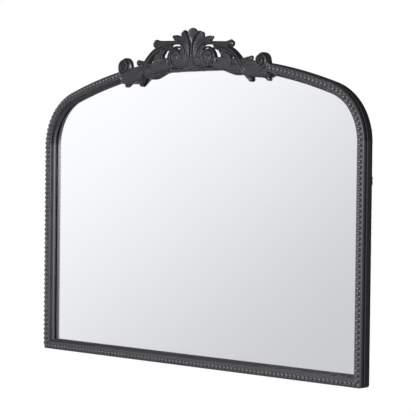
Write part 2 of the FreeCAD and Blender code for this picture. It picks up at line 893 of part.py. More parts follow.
def build():
    """Every sub-part by its name."""
    parts = {}
    plate, plate_spots = joint_plate()
    brace, brace_spots = corner_brace()
    strap, strap_spots = hanger_strap()
    clip = board_clip()
    hanger_place = on_stile(hanger_height)

    clip_places = [on_stile(share * side_height) for share in stile_clip_shares]
    clip_places.append(on_shoulder(shoulder_clip_share))
    clip_places += [reflected(place) for place in clip_places]
    clip_places += [on_bottom(share) for share in bottom_clip_shares]
    clip_places += [on_top(share) for share in top_clip_shares]
    clip_pilot = pilot(clip_screw_reach, 0, -clip_thickness)
    clip_screw = screw(clip_screw_reach, 0, -clip_thickness)

    joints = joint_places()
    all_joints = joints + [reflected(place) for place in joints]
    plate_pilots = [pilot(reach, along, -plate_thickness) for reach, along in plate_spots]
    plate_screws = [screw(reach, along, -plate_thickness) for reach, along in plate_spots]
    strap_pilots = [pilot(reach, along, -strap_thickness) for reach, along in strap_spots]
    strap_screws = [screw(reach, along, -strap_thickness) for reach, along in strap_spots]
    brace_pilots = [pilot(x, z, -plate_thickness) for x, z in brace_spots]
    brace_screws = [screw(x, z, -plate_thickness) for x, z in brace_spots]

    holes = [settle(clip_pilot, place) for place in clip_places]
    for place in all_joints:
        holes += [settle(hole, place) for hole in plate_pilots]
        holes.append(settle(dowel(dowel_clearance), place))
    sided = [settle(hole, hanger_place) for hole in strap_pilots]
    sided += brace_pilots
    sided.append(mitre_spline(spline_clearance))
    sided.append(corner_cutter())
    holes += sided + [mirrored(hole) for hole in sided]
    holes += [settle(crown_pilot(), place) for place in crown_screw_places()]

    def bored(member):
        near = [hole for hole in holes if member.BoundBox.intersect(hole.BoundBox)]
        return member.cut(near)

    stile = stile_solid(section)
    shoulder = shoulder_solid(section)
    parts["right_stile"] = bored(stile)
    parts["left_stile"] = bored(mirrored(stile))
    parts["bottom_rail"] = bored(rail_solid(section))
    parts["right_shoulder"] = bored(shoulder)
    parts["left_shoulder"] = bored(mirrored(shoulder))
    parts["top_arch"] = bored(top_solid(section, shoulder_sweep, top_sweep))

    side_strip = bead_solid(stile_solid(ribbon_section), straight_beads())
    parts["bead_strip_right"] = side_strip
    parts["bead_strip_left"] = mirrored(side_strip)
    parts["bead_strip_bottom"] = bead_solid(rail_solid(ribbon_section), bottom_beads())
    parts["bead_strip_arch_right"] = arch_strip()
    parts["bead_strip_arch_left"] = mirrored(arch_strip())

    glass_reach = -rabbet_inset - glass_clearance
    board_reach = -rabbet_inset - board_clearance
    parts["mirror_glass"] = outline_plate(glass_reach, glass_back, rabbet_depth)
    parts["backing_board"] = outline_plate(board_reach, board_back, glass_back)
    block_x = block_place_share * line_half
    parts["setting_blocks"] = Part.makeCompound([setting_block(block_x), setting_block(-block_x)])

    parts["crown"] = crown_casting()
    crown_screws = [settle(crown_screw(), place) for place in crown_screw_places()]
    parts["crown_screws"] = Part.makeCompound(crown_screws)

    dowels = [settle(dowel(0), place) for place in all_joints]
    parts["joint_dowels"] = Part.makeCompound(dowels)
    tongue = mitre_spline(0)
    parts["mitre_splines"] = Part.makeCompound([tongue, mirrored(tongue)])

    parts["corner_brace_right"] = brace
    parts["corner_brace_left"] = mirrored(brace)
    brace_screws += [mirrored(piece) for piece in brace_screws]
    parts["corner_brace_screws"] = Part.makeCompound(brace_screws)
    parts["joint_plates"] = Part.makeCompound([settle(plate, place) for place in all_joints])
    fixed = [settle(piece, place) for place in all_joints for piece in plate_screws]
    parts["joint_plate_screws"] = Part.makeCompound(fixed)
    parts["board_clips"] = Part.makeCompound([settle(clip, place) for place in clip_places])
    clip_screws = [settle(clip_screw, place) for place in clip_places]
    parts["board_clip_screws"] = Part.makeCompound(clip_screws)

    right_strap = settle(strap, hanger_place)
    parts["hanger_strap_right"] = right_strap
    parts["hanger_strap_left"] = mirrored(right_strap)
    right_screws = [settle(piece, hanger_place) for piece in strap_screws]
    left_screws = [mirrored(piece) for piece in right_screws]
    parts["hanger_screws"] = Part.makeCompound(right_screws + left_screws)
    right_ring = settle(d_ring(), hanger_place)
    parts["d_ring_right"] = right_ring
    parts["d_ring_left"] = mirrored(right_ring)

    feet = [on_bottom(share) for share in bottom_bumper_shares]
    feet += [on_top(share) for share in top_bumper_shares]
    parts["wall_bumpers"] = Part.makeCompound([settle(bumper(), place) for place in feet])
    return parts


os.makedirs("parts", exist_ok=True)
for name, shape in build().items():
    shape.exportStep("parts/" + name + ".step")
    box = shape.BoundBox
    print(
        name,
        len(shape.Solids),
        shape.isValid(),
        round(shape.Volume),
        [round(value, 1) for value in (box.XMin, box.XMax, box.YMin, box.YMax, box.ZMin, box.ZMax)],
    )
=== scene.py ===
import json
import math

import bmesh
import bpy
from mathutils import Matrix, Vector

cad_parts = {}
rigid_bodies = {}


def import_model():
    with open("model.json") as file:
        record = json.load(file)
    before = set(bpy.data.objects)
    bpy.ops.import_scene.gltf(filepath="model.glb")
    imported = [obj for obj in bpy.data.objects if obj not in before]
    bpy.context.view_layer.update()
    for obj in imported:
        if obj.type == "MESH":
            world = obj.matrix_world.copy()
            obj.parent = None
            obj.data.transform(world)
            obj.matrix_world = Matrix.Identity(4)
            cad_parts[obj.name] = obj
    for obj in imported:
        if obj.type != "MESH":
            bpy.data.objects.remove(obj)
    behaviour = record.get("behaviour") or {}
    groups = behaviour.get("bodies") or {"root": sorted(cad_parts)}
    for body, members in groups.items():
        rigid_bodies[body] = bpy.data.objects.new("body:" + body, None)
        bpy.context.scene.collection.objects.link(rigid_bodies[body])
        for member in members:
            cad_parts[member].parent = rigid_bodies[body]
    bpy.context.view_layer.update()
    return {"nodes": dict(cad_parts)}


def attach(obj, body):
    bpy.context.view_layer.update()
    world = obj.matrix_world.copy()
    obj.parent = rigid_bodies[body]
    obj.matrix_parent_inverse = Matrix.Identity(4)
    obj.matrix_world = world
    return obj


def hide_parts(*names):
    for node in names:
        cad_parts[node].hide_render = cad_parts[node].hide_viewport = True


# Looks of an arched wall mirror with a beaded black moulding and a cast scrollwork crown.
# Lengths are in metres. X runs along the width, Y into the wall, Z up, and the front faces -Y.

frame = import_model()

SIDES = (("right", 1), ("left", -1))

# Frame outline, on its outer edge
FRAME_WIDTH = 1.016
SIDE_HEIGHT = 0.5245
SHOULDER_RADIUS = 0.14
TOP_RADIUS = 1.248
CORNER_ROUND = 0.0076
CORNER_INSET = 0.00745
BUMPER_HEIGHT = 0.0065

# Moulding section. A reach is measured outward from the bead line, a depth forward from the back.
EDGE_REACH = 0.0099
GROOVE_REACH = 0.0077
FILLET_REACH = 0.0049
CHANNEL_HALF = 0.0047
CHANNEL_DEPTH = 0.0278
FRONT_DEPTH = 0.03
LIP_INSET = 0.016
RABBET_INSET = 0.006
RABBET_DEPTH = 0.014
GLASS_THICKNESS = 0.004
GLASS_CLEARANCE = 0.001
JOINT_GAP = 0.00006
# Each corner of the section: its reach, its depth and how far it is rounded
SECTION = (
    (EDGE_REACH, 0, 0.0004),
    (EDGE_REACH, 0.0168, 0.0008),
    (0.0086, 0.0179, 0.0005),
    (GROOVE_REACH, 0.0188, 0.0003),
    (GROOVE_REACH, 0.0212, 0.0003),
    (EDGE_REACH, 0.0224, 0.0006),
    (EDGE_REACH, 0.0268, 0.0022),
    (0.0072, FRONT_DEPTH, 0.0016),
    (FILLET_REACH, FRONT_DEPTH, 0.0004),
    (CHANNEL_HALF, CHANNEL_DEPTH, 0.0001),
    (-CHANNEL_HALF, CHANNEL_DEPTH, 0.0001),
    (-FILLET_REACH, FRONT_DEPTH, 0.0004),
    (-0.0092, FRONT_DEPTH, 0.0014),
    (-0.0106, 0.0278, 0.0014),
    (-0.0110, 0.0240, 0.0008),
    (-0.0121, 0.0208, 0.0016),
    (-0.0138, 0.0192, 0.0006),
    (-0.0150, 0.0182, 0.0006),
    (-LIP_INSET, 0.0166, 0.0006),
    (-LIP_INSET, RABBET_DEPTH, 0.0001),
    (-RABBET_INSET, RABBET_DEPTH, 0.0001),
    (-RABBET_INSET, 0, 0.0003),
)

# Steps of the round stretches
ROUND_STEPS = 4
CORNER_STEPS = 6
SHOULDER_STEPS = 48
TOP_STEPS = 192

# Beads on their ribbon
RIBBON_CLEARANCE = 0.0002
RIBBON_TOP = 0.0298
BEAD_RADIUS = 0.0047
BEAD_CENTRE = 0.033
BEAD_PITCH = 0.0116
BEAD_SIDES = 20
BEAD_RINGS = 9
BEAD_END_CLEARANCE = 0.0015

# Crown, drawn on a pattern and set on the frame
CROWN_HALF_WIDTH = 0.2386
CROWN_HEIGHT = 0.134
CROWN_DROP = 0.0542
CROWN_SHIFT = 0.002
CROWN_BACK = 0.0205
CROWN_SEAT = 0.0303
CROWN_SET_BACK = 0.0052
CROWN_SKIN = 0.0005
# The crown's back over the moulding, from its outer edge inward: reach and depth
FLOOR_LINE = (
    (0.0102, CROWN_BACK),
    (0.0088, CROWN_SEAT),
    (-0.0104, CROWN_SEAT),
    (-0.0126, 0.0215),
    (-0.0166, 0.0145),
)
CROWN_VOXEL = 0.0006
CROWN_SMOOTH = 0.5
CROWN_SMOOTH_STEPS = 3

# Countersunk holes for the crown's screws, with each place a share of the crown's half width
SCREW_SHARES = (-0.87, -0.2, 0.2, 0.87)
SCREW_REACH = 0.0018
HOLE_SIDES = 32
# The hole's radius and depth at its mouth, at both ends of the countersink and at its bottom
SCREW_HOLE = ((0.0033, -0.001), (0.0033, 0.0024), (0.0021, 0.0043), (0.0021, 0.012))

# Silvering on the back of the glass
SILVER_MARGIN = 0.0003
SILVER_LIFT = 0.00005
SILVER_THICKNESS = 0.00003

# Points closer than this are one, and edges that turn more than this stay sharp
MERGE = 0.00001
SHARP = math.radians(34)

# Paint and plate
BLACK_DARK = (0.0155, 0.0153, 0.0178)
BLACK_LIGHT = (0.025, 0.0247, 0.0288)
# Lighter colour for the high edges: partly paint rubbed thin, partly a painted highlight on the ridges
BLACK_WEAR_AND_HIGHLIGHT = (0.061, 0.060, 0.067)
# The beads' lighter colour is mostly a painted highlight that brightens their crests, on top of rubbed
# paint
BEAD_WEAR_AND_HIGHLIGHT = (0.14, 0.138, 0.15)
WEAR_AND_HIGHLIGHT_SPAN = (0.5, 0.58)
WEAR_AND_HIGHLIGHT_PATCHES = (0.5, 1.0)
ALONG_GRAIN = (1, 1, 0.1)
NOISE_DETAIL = 4.0
NOISE_ROUGHNESS = 0.55
BROAD_SHARE = 12
RAMP_PLACES = (0.3, 0.7)
SILVER_TINTS = ((0.975, 0.978, 0.98), (0.985, 0.987, 0.988))
GLASS_TINTS = ((0.995, 0.999, 0.998), (1, 1, 1))
CLOUD_SCALE = 3.0
GLASS_INDEX = 1.45
# Places of the mix node's colour sockets
MIX_FIRST = 6
MIX_SECOND = 7
MIX_RESULT = 2

# World
WHITE = (1, 1, 1, 1)
PLAIN = (0.55, 0.55, 0.55, 1)
GRADIENT_WAY = (-0.756, 0, 0.654)
GRADIENT_SPAN = (0.36, 0.62)
GRADIENT_DARK = (0.607, 0.613, 0.627)
GRADIENT_LIGHT = (1.018, 1.023, 1.038)
# Where the room grows darker behind, on the right and above: axis, span and the level left
ROOM_FALLS = (("Y", (-0.35, 0.45), 0.15), ("X", (-0.4, 0.5), 0.25), ("Z", (0.13, 0.6), 0.06))

# Floor, far below the hanging mirror
FLOOR_RADIUS = 3.0
FLOOR_LEVEL = -1.2
FLOOR_SIDES = 96

# Lamps: name, place, size and power
LAMP_TARGET = Vector((0, 0, 0.4))
LAMPS = (
    ("key", (-1.9, -2.4, 2.6), 0.9, 6),
    ("front", (1.2, -3.1, 1.0), 0.6, 150),
    ("back", (-0.9, 3.0, 0.35), 0.6, 60),
)

# Camera, as in the photo
CAMERA_YAW = math.radians(42.32)
CAMERA_PITCH = math.radians(1.21)
CAMERA_ROLL = math.radians(0.665)
CAMERA_TARGET = Vector((0.0351, -0.0065, 0.3713))
CAMERA_DISTANCE = 3.46
CAMERA_LENS = 127.3
CAMERA_SENSOR = 36.0
CAMERA_SHIFT = 0.0034

half_width = FRAME_WIDTH / 2
line_half = half_width - EDGE_REACH
line_shoulder = SHOULDER_RADIUS - EDGE_REACH
line_top = TOP_RADIUS - EDGE_REACH
shoulder_x = half_width - SHOULDER_RADIUS
centre_step = TOP_RADIUS - SHOULDER_RADIUS
shoulder_turn = math.acos(shoulder_x / centre_step)
top_centre_z = SIDE_HEIGHT - centre_step * math.sin(shoulder_turn)
crown_foot = top_centre_z + line_top - CROWN_DROP


# Mesh helpers


def spot(x, depth, z):
    """A point given by its depth forward of the frame's back face."""
    return Vector((x, -(BUMPER_HEIGHT + depth), z))


def sided(loops, side):
    """Loops drawn on the right, kept there for side 1 or turned over to the left for side -1."""
    return [[Vector((side * co.x, co.y, co.z)) for co in loop] for loop in loops]


def ring(x, z, radius, depth, sides):
    """Points round an axis that runs front to back."""
    turns = [2 * math.pi * side / sides for side in range(sides)]
    return [spot(x + radius * math.cos(turn), depth, z + radius * math.sin(turn)) for turn in turns]


def skin(bm, loops):
    """Faces between each two closed loops of points."""
    rings = [[bm.verts.new(co) for co in loop] for loop in loops]
    count = len(rings[0])
    for low, high in zip(rings, rings[1:]):
        for k in range(count):
            n = (k + 1) % count
            bm.faces.new((low[k], low[n], high[n], high[k]))
    return rings


def bridge(bm, loops):
    """A closed solid along the loops, with flat ends."""
    rings = skin(bm, loops)
    bm.faces.new(rings[0])
    bm.faces.new(reversed(rings[-1]))


def rounded(corners):
    """A closed run of corners with each corner turned by a small arc."""
    run = []
    count = len(corners)
    for k, (x, y, radius) in enumerate(corners):
        here = Vector((x, y))
        back = Vector(corners[k - 1][:2]) - here
        ahead = Vector(corners[(k + 1) % count][:2]) - here
        reach = min(radius, back.length / 2, ahead.length / 2)
        start = here + back.normalized() * reach
        end = here + ahead.normalized() * reach
        for step in range(ROUND_STEPS + 1):
            t = step / ROUND_STEPS
            run.append(start * (1 - t) ** 2 + here * (2 * t * (1 - t)) + end * t**2)
    return run


def mesh_object(name, bm):
    """An object of the scene made from a bmesh, with its faces turned outward."""
    bmesh.ops.recalc_face_normals(bm, faces=bm.faces)
    mesh = bpy.data.meshes.new(name)
    bm.to_mesh(mesh)
    bm.free()
    obj = bpy.data.objects.new(name, mesh)
    bpy.context.scene.collection.objects.link(obj)
    return obj


def apply_modifiers(obj):
    """Puts the mesh that the modifiers make in the place of the object's own."""
    depsgraph = bpy.context.evaluated_depsgraph_get()
    done = bpy.data.meshes.new_from_object(obj.evaluated_get(depsgraph))
    obj.modifiers.clear()
    obj.data = done


def shade(obj):
    """Smooth shading with an edge kept sharp where the surface turns hard."""
    obj.data.shade_smooth()
    obj.data.set_sharp_from_angle(angle=SHARP)


def piece(name, bm, material):
    """A piece that rides on the frame."""
    bmesh.ops.remove_doubles(bm, verts=bm.verts, dist=MERGE)
    obj = mesh_object(name, bm)
    obj.data.materials.append(material)
    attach(obj, "frame")
    return obj


def stand_in(name, bm, material, node):
    """A smooth piece that takes the place of a CAD node."""
    obj = piece(name, bm, material)
    shade(obj)
    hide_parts(node)
    return obj


# Materials


def new_material(name):
    material = bpy.data.materials.new(name)
    material.use_nodes = True
    nodes = material.node_tree.nodes
    return material, nodes, material.node_tree.links, nodes["Principled BSDF"]


def object_coords(nodes):
    return nodes.new("ShaderNodeTexCoord").outputs["Object"]


def noise(nodes, links, coords, scale):
    node = nodes.new("ShaderNodeTexNoise")
    node.inputs["Scale"].default_value = scale
    node.inputs["Detail"].default_value = NOISE_DETAIL
    node.inputs["Roughness"].default_value = NOISE_ROUGHNESS
    links.new(coords, node.inputs["Vector"])
    return node.outputs["Fac"]


def ramp(nodes, links, value, dark, light, places=RAMP_PLACES):
    """A colour that runs from dark to light between the two places."""
    node = nodes.new("ShaderNodeValToRGB")
    for element, place, colour in zip(node.color_ramp.elements, places, (dark, light)):
        element.position = place
        element.color = (*colour, 1)
    links.new(value, node.inputs["Fac"])
    return node.outputs["Color"]


def to_range(nodes, links, value, low, high, span=(0, 1), curve="LINEAR"):
    """A value that runs from low to high as the given one crosses its span."""
    node = nodes.new("ShaderNodeMapRange")
    node.interpolation_type = curve
    node.inputs["From Min"].default_value = span[0]
    node.inputs["From Max"].default_value = span[1]
    node.inputs["To Min"].default_value = low
    node.inputs["To Max"].default_value = high
    links.new(value, node.inputs["Value"])
    return node.outputs["Result"]


def combined(nodes, links, operation, first, second):
    """Two values joined by a math node."""
    node = nodes.new("ShaderNodeMath")
    node.operation = operation
    links.new(first, node.inputs[0])
    links.new(second, node.inputs[1])
    return node.outputs["Value"]


def bump(nodes, links, height, distance, shader):
    node = nodes.new("ShaderNodeBump")
    node.inputs["Distance"].default_value = distance
    node.inputs["Strength"].default_value = 1
    links.new(height, node.inputs["Height"])
    links.new(node.outputs["Normal"], shader.inputs["Normal"])


def worn_and_highlit(nodes, links, colour, fine, wear_and_highlight):
    """Paint rubbed thin on the high edges, where the mesh turns most, together with a painted
    highlight there: those edges are given a lighter colour.
    """
    turning = nodes.new("ShaderNodeNewGeometry").outputs["Pointiness"]
    high = to_range(nodes, links, turning, 0, 1, WEAR_AND_HIGHLIGHT_SPAN)
    patches = to_range(nodes, links, fine, *WEAR_AND_HIGHLIGHT_PATCHES)
    mix = nodes.new("ShaderNodeMix")
    mix.data_type = "RGBA"
    links.new(combined(nodes, links, "MULTIPLY", high, patches), mix.inputs[0])
    links.new(colour, mix.inputs[MIX_FIRST])
    mix.inputs[MIX_SECOND].default_value = (*wear_and_highlight, 1)
    return mix.outputs[MIX_RESULT]


def grained(name, dark, light, rough, grain, relief, metallic=0, stretch=(1, 1, 1), wear_and_highlight=None):
    """A surface with a fine uneven grain in its colour, its roughness and its relief."""
    material, nodes, links, shader = new_material(name)
    mapping = nodes.new("ShaderNodeMapping")
    mapping.inputs["Scale"].default_value = stretch
    links.new(object_coords(nodes), mapping.inputs["Vector"])
    coords = mapping.outputs["Vector"]
    broad = noise(nodes, links, coords, grain / BROAD_SHARE)
    fine = noise(nodes, links, coords, grain)
    colour = ramp(nodes, links, broad, dark, light)
    # Rubbed paint and a painted highlight: the high edges are given a lighter colour
    if wear_and_highlight:
        colour = worn_and_highlit(nodes, links, colour, fine, wear_and_highlight)
    links.new(colour, shader.inputs["Base Color"])
    links.new(to_range(nodes, links, fine, *rough), shader.inputs["Roughness"])
    shader.inputs["Metallic"].default_value = metallic
    bump(nodes, links, fine, relief, shader)
    return material


def black_paint(name, rough, grain, relief, wear_and_highlight=BLACK_WEAR_AND_HIGHLIGHT):
    return grained(name, BLACK_DARK, BLACK_LIGHT, rough, grain, relief, wear_and_highlight=wear_and_highlight)


def polished(name, tints):
    """A mirror-smooth surface with a faint drift in its tint."""
    material, nodes, links, shader = new_material(name)
    cloud = noise(nodes, links, object_coords(nodes), CLOUD_SCALE)
    links.new(ramp(nodes, links, cloud, *tints), shader.inputs["Base Color"])
    shader.inputs["Roughness"].default_value = 0
    return material, shader


def silver_material():
    material, shader = polished("silvering", SILVER_TINTS)
    shader.inputs["Metallic"].default_value = 1
    return material


def glass_material():
    material, shader = polished("float_glass", GLASS_TINTS)
    shader.inputs["Transmission Weight"].default_value = 1
    shader.inputs["IOR"].default_value = GLASS_INDEX
    return material


# The frame and crown paints lighten their high edges, as rubbed paint and as a painted highlight
frame_black = black_paint("frame_paint", rough=(0.34, 0.5), grain=900, relief=0.0001)
# Bead paint: its high spots get a painted highlight as well as rubbed paint
bead_black = black_paint("bead_paint", rough=(0.18, 0.3), grain=900, relief=0.00006, wear_and_highlight=BEAD_WEAR_AND_HIGHLIGHT)
crown_black = black_paint("crown_paint", rough=(0.3, 0.46), grain=700, relief=0.00012)
board_brown = grained(
    "fibreboard", (0.2, 0.12, 0.06), (0.3, 0.19, 0.1), rough=(0.75, 0.95), grain=500, relief=0.0001
)
cork = grained(
    "cork", (0.12, 0.07, 0.035), (0.3, 0.19, 0.1), rough=(0.8, 0.95), grain=1200, relief=0.0002
)
beech = grained(
    "beech_wood",
    dark=(0.42, 0.25, 0.12),
    light=(0.6, 0.4, 0.22),
    rough=(0.5, 0.7),
    grain=600,
    relief=0.00006,
    stretch=ALONG_GRAIN,
)
zinc = grained(
    "zinc_plate",
    dark=(0.42, 0.42, 0.41),
    light=(0.56, 0.56, 0.54),
    rough=(0.28, 0.5),
    grain=700,
    relief=0.00003,
    metallic=1,
)
screw_metal = grained(
    "screw_plate",
    dark=(0.4, 0.4, 0.4),
    light=(0.52, 0.52, 0.53),
    rough=(0.25, 0.42),
    grain=1200,
    relief=0.00002,
    metallic=1,
)
rubber = grained(
    "bumper_rubber",
    dark=(0.012, 0.012, 0.012),
    light=(0.022, 0.022, 0.022),
    rough=(0.6, 0.85),
    grain=1500,
    relief=0.00008,
)
pale_floor = grained(
    "pale_floor", (0.55, 0.55, 0.55), (0.62, 0.62, 0.62), rough=(0.7, 0.9), grain=60, relief=0.0002
)
silver = silver_material()
clear_glass = glass_material()


# Moulding


def mitre_loops(section):
    """Loops of (x, depth, z) for the lower end of the right stile, down to the mitre."""
    centre_x = half_width - CORNER_INSET
    loops = []
    for step in range(CORNER_STEPS + 1):
        turn = -math.pi / 4 * step / CORNER_STEPS
        edge_x = centre_x + CORNER_ROUND * math.cos(turn)
        level = CORNER_INSET + CORNER_ROUND * math.sin(turn)
        loop = []
        for reach, depth in section:
            x = min(line_half + reach, edge_x)
            loop.append((x, depth, max(level, half_width - x)))
        loops.append(loop)
    return loops


def stile_loops(section):
    """The right stile, from its top down to the mitre."""
    loops = [[(line_half + reach, depth, SIDE_HEIGHT - JOINT_GAP) for reach, depth in section]]
    lower = mitre_loops(section)
    loops += [[(x, depth, z + JOINT_GAP) for x, depth, z in loop] for loop in lower]
    return [[spot(*co) for co in loop] for loop in loops]


def rail_loops(section):
    """The bottom rail: the stile's end turned over about the mitre, at both ends."""
    right = []
    for loop in mitre_loops(section):
        right.append([(half_width - z - JOINT_GAP, depth, half_width - x) for x, depth, z in loop])
    left = [[(-x, depth, z) for x, depth, z in loop] for loop in reversed(right)]
    return [[spot(*co) for co in loop] for loop in right[::-1] + left[::-1]]


def arc_loops(section, centre_x, centre_z, radius, start, end, steps):
    """Loops about an axis that runs front to back; angles from +X."""
    loops = []
    for step in range(steps + 1):
        turn = start + (end - start) * step / steps
        loop = []
        for reach, depth in section:
            x = centre_x + (radius + reach) * math.cos(turn)
            z = centre_z + (radius + reach) * math.sin(turn)
            loop.append(spot(x, depth, z))
        loops.append(loop)
    return loops


def shoulder_loops(section):
    gap = JOINT_GAP / line_shoulder
    return arc_loops(
        section, shoulder_x, SIDE_HEIGHT, line_shoulder, gap, shoulder_turn - gap, SHOULDER_STEPS
    )


def top_loops(section, start, end, steps):
    gap = JOINT_GAP / line_top
    return arc_loops(section, 0, top_centre_z, line_top, start + gap, end - gap, steps)


def member(name, loops, node):
    """One length of the moulding."""
    bm = bmesh.new()
    bridge(bm, loops)
    return stand_in(name, bm, frame_black, node)


def cut_screw_holes(obj):
    """Countersunk holes in the back of the arch, where the crown's screws go in."""
    bm = bmesh.new()
    for share in SCREW_SHARES:
        turn = math.acos(share * CROWN_HALF_WIDTH / line_top)
        run = line_top + SCREW_REACH
        x, z = run * math.cos(turn), top_centre_z + run * math.sin(turn)
        bridge(bm, [ring(x, z, radius, depth, HOLE_SIDES) for radius, depth in SCREW_HOLE])
    cutter = mesh_object("hole_cutter", bm)
    cut = obj.modifiers.new("holes", "BOOLEAN")
    cut.operation = "DIFFERENCE"
    cut.solver = "EXACT"
    cut.object = cutter
    apply_modifiers(obj)
    bpy.data.objects.remove(cutter)
    shade(obj)


def add_moulding():
    """Two stiles, the bottom rail, two shoulders and the top arch."""
    profile = [(co.x, co.y) for co in rounded(SECTION)]
    for name, side in SIDES:
        member(name + "_stile_body", sided(stile_loops(profile), side), name + "_stile")
    member("bottom_rail_body", rail_loops(profile), "bottom_rail")
    for name, side in SIDES:
        member(name + "_shoulder_body", sided(shoulder_loops(profile), side), name + "_shoulder")
    top = top_loops(profile, shoulder_turn, math.pi - shoulder_turn, TOP_STEPS)
    cut_screw_holes(member("top_arch_body", top, "top_arch"))


add_moulding()


# Beads


def ribbon_profile():
    """The ribbon's section, a little narrower than its channel."""
    half = CHANNEL_HALF - RIBBON_CLEARANCE
    return [
        (half, CHANNEL_DEPTH),
        (half, RIBBON_TOP),
        (-half, RIBBON_TOP),
        (-half, CHANNEL_DEPTH),
    ]


def add_bead(bm, x, z):
    """A round bead on the ribbon, standing proud of the fillets."""
    low = -math.asin(min(1, (BEAD_CENTRE - RIBBON_TOP) / BEAD_RADIUS))
    loops = []
    for step in range(BEAD_RINGS):
        turn = low + (math.pi / 2 - low) * step / BEAD_RINGS
        depth = BEAD_CENTRE + BEAD_RADIUS * math.sin(turn)
        loops.append(ring(x, z, BEAD_RADIUS * math.cos(turn), depth, BEAD_SIDES))
    rings = skin(bm, loops)
    crest = bm.verts.new(spot(x, BEAD_CENTRE + BEAD_RADIUS, z))
    for k in range(BEAD_SIDES):
        bm.faces.new((rings[-1][k], rings[-1][(k + 1) % BEAD_SIDES], crest))
    bm.faces.new(reversed(rings[0]))


def bead_runs(length):
    """How far along a stretch each of its beads stands."""
    count = max(1, round(length / BEAD_PITCH))
    return [length * (number + 0.5) / count for number in range(count)]


def strip(name, loops, spots, node):
    """A ribbon with its beads."""
    bm = bmesh.new()
    bridge(bm, loops)
    for x, z in spots:
        add_bead(bm, x, z)
    stand_in(name, bm, bead_black, node)


def arch_spots(end_turn):
    """Bead places from the right stile's top round the shoulder and up the arch."""
    shoulder_length = shoulder_turn * line_shoulder
    top_length = (end_turn - shoulder_turn) * line_top
    spots = []
    for run in bead_runs(shoulder_length + top_length):
        if run < shoulder_length:
            turn = run / line_shoulder
            centre_x, centre_z, radius = shoulder_x, SIDE_HEIGHT, line_shoulder
        else:
            turn = shoulder_turn + (run - shoulder_length) / line_top
            centre_x, centre_z, radius = 0, top_centre_z, line_top
        spots.append((centre_x + radius * math.cos(turn), centre_z + radius * math.sin(turn)))
    return spots


def add_bead_strips():
    """One strip on each side and on the bottom rail, and one up each side of the arch."""
    ribbon = ribbon_profile()
    side_runs = bead_runs(SIDE_HEIGHT - EDGE_REACH)
    for name, side in SIDES:
        spots = [(side * line_half, EDGE_REACH + run) for run in side_runs]
        strip(name + "_beads", sided(stile_loops(ribbon), side), spots, "bead_strip_" + name)
    spots = [(run - line_half, EDGE_REACH) for run in bead_runs(2 * line_half)]
    strip("bottom_beads", rail_loops(ribbon), spots, "bead_strip_bottom")
    for name, side in SIDES:
        end_x = CROWN_HALF_WIDTH + side * CROWN_SHIFT + BEAD_END_CLEARANCE
        end_turn = math.acos(end_x / line_top)
        loops = shoulder_loops(ribbon)[:-1]
        loops += top_loops(ribbon, shoulder_turn, end_turn, SHOULDER_STEPS)
        spots = [(side * x, z) for x, z in arch_spots(end_turn)]
        strip(name + "_arch_beads", sided(loops, side), spots, "bead_strip_arch_" + name)


add_bead_strips()


# Crown

PATTERN_HALF_WIDTH = 238.6
PATTERN_HEIGHT = 134.0
PATTERN_UNIT = 0.001
PATTERN_STEP = 1.3
ACROSS = 14
CAP_STEPS = 5
CAP_LAST = math.radians(87)

# Limbs of the right half, each a run of knots (x, height, width, crest) in pattern millimetres:
# x from the crown's middle, height above its foot, crest a depth of the front. The left half
# has the same limbs turned over.
WEBS = (
    ((14, 50, 34, 36), (16, 62, 36, 36), (18, 78, 34, 34), (23, 93, 32, 33), (30, 102, 24, 32)),
    ((48, 63, 42, 35), (52, 64, 42, 35)),
    ((84, 42, 14, 36), (104, 42, 16, 36), (122, 37, 16, 36), (138, 34, 15, 36), (154, 34, 14, 36)),
    ((108, 44, 20, 34), (110, 58, 18, 33), (106, 69, 13, 32)),
)
MIDDLE_LEAF = ((0, 62, 6, 33), (0, 88, 8, 34), (0, 103, 14, 34), (0, 112, 22, 34), (0, 118, 33, 34))
MIDDLE_BUD = ((0, 42, 13, 36), (0, 49, 7, 35), (0, 57, 2, 33))
CORD = (
    (23.0, 125.5, 4.6, 37.5),
    (16.5, 119.5, 4.4, 38.5),
    (11.5, 112.0, 4.0, 39.5),
    (8.0, 105.0, 3.8, 39.5),
    (5.6, 97.5, 3.6, 39.5),
    (4.4, 89.0, 3.6, 39.5),
    (4.0, 79.0, 3.6, 39.5),
    (4.2, 69.0, 3.6, 39.5),
    (5.8, 60.0, 3.8, 39.5),
    (9.0, 52.5, 3.8, 39.5),
    (14.0, 47.0, 4.0, 39.5),
    (21.0, 43.5, 4.2, 39.5),
    (31.0, 42.0, 4.4, 39.5),
    (43.0, 42.5, 4.6, 39.5),
    (54.5, 46.0, 4.8, 39.5),
    (63.0, 53.0, 5.0, 39.5),
    (66.8, 63.0, 5.0, 39.5),
    (64.5, 73.0, 5.0, 39.5),
    (57.5, 79.5, 5.0, 39.5),
    (48.5, 80.5, 4.8, 39),
    (40.0, 76.0, 4.6, 38.5),
    (35.5, 67.5, 4.4, 38),
    (36.5, 58.0, 4.2, 37.5),
    (43.0, 51.5, 4.2, 37.5),
    (51.5, 51.5, 4.4, 37.5),
    (57.5, 57.0, 4.8, 37.5),
    (58.5, 64.5, 5.0, 37.5),
    (53.5, 69.5, 5.0, 37),
    (47.0, 68.0, 5.0, 36.5),
    (46.5, 62.5, 5.0, 36.5),
)
SECOND_CORD = (
    (58.0, 108.0, 3.6, 34.5),
    (48.0, 102.5, 4.0, 36.5),
    (37.0, 97.5, 4.2, 37.5),
    (28.0, 92.0, 4.2, 38.5),
    (22.0, 84.5, 4.0, 38.5),
    (19.5, 75.0, 4.0, 38.5),
    (19.0, 65.0, 4.0, 38.5),
    (20.0, 55.5, 3.8, 37.5),
    (25.0, 49.0, 3.4, 36.5),
)
